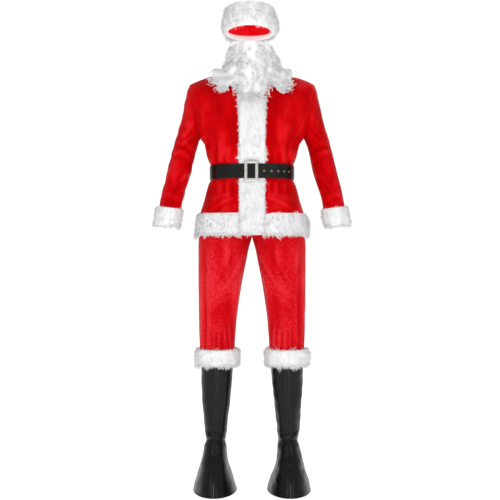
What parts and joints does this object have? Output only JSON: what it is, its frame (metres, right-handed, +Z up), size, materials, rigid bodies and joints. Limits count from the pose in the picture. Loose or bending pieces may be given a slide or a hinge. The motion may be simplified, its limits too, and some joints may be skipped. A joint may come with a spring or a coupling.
{
  "type": "santa suit",
  "caption": "Festive red and white costume set, standing as worn: soft hat, curly beard, belted fur-trimmed jacket, trousers with fur cuffs and boot covers.",
  "frame": {"origin": "middle of the neck, level with the shoulders on which the wearer carries the jacket, 1.57 m above the floor", "axes": "+Z up, the front faces -Y, the wearer's left is +X"},
  "size_m": [0.7558, 0.3695, 1.87],
  "materials": {
    "red_pile": "short soft pile",
    "red_crushed": "crushed velvet",
    "white_fur": "long fluffy pile",
    "white_fibre": "curled fibre",
    "black_leatherette": "soft gloss leatherette",
    "silver": "polished, bevelled",
    "brass": "satin"
  },
  "bodies": {
    "root": {"beard": "white_fibre", "belt_buckle": "silver", "belt_eyelet_1": "brass", "belt_eyelet_2": "brass", "belt_eyelet_3": "brass", "belt_eyelet_4": "brass", "belt_eyelet_5": "brass", "belt_prong": "brass", "belt_strap": "black_leatherette", "boot_left_inner": "black_leatherette", "boot_left_outer": "black_leatherette", "boot_right_inner": "black_leatherette", "boot_right_outer": "black_leatherette", "hat_crown": "red_pile", "hat_fur_band": "white_fur", "hat_pompom": "white_fur", "jacket_back": "red_pile", "jacket_cuff_fur_left": "white_fur", "jacket_cuff_fur_right": "white_fur", "jacket_front_fur": "white_fur", "jacket_front_left": "red_pile", "jacket_front_right": "red_pile", "jacket_hem_fur": "white_fur", "jacket_sleeve_left": "red_pile", "jacket_sleeve_right": "red_pile", "trouser_back_left": "red_crushed", "trouser_back_right": "red_crushed", "trouser_cuff_fur_left": "white_fur", "trouser_cuff_fur_right": "white_fur", "trouser_front_left": "red_crushed", "trouser_front_right": "red_crushed", "trouser_waistband": "red_crushed"}
  },
  "joints": []
}
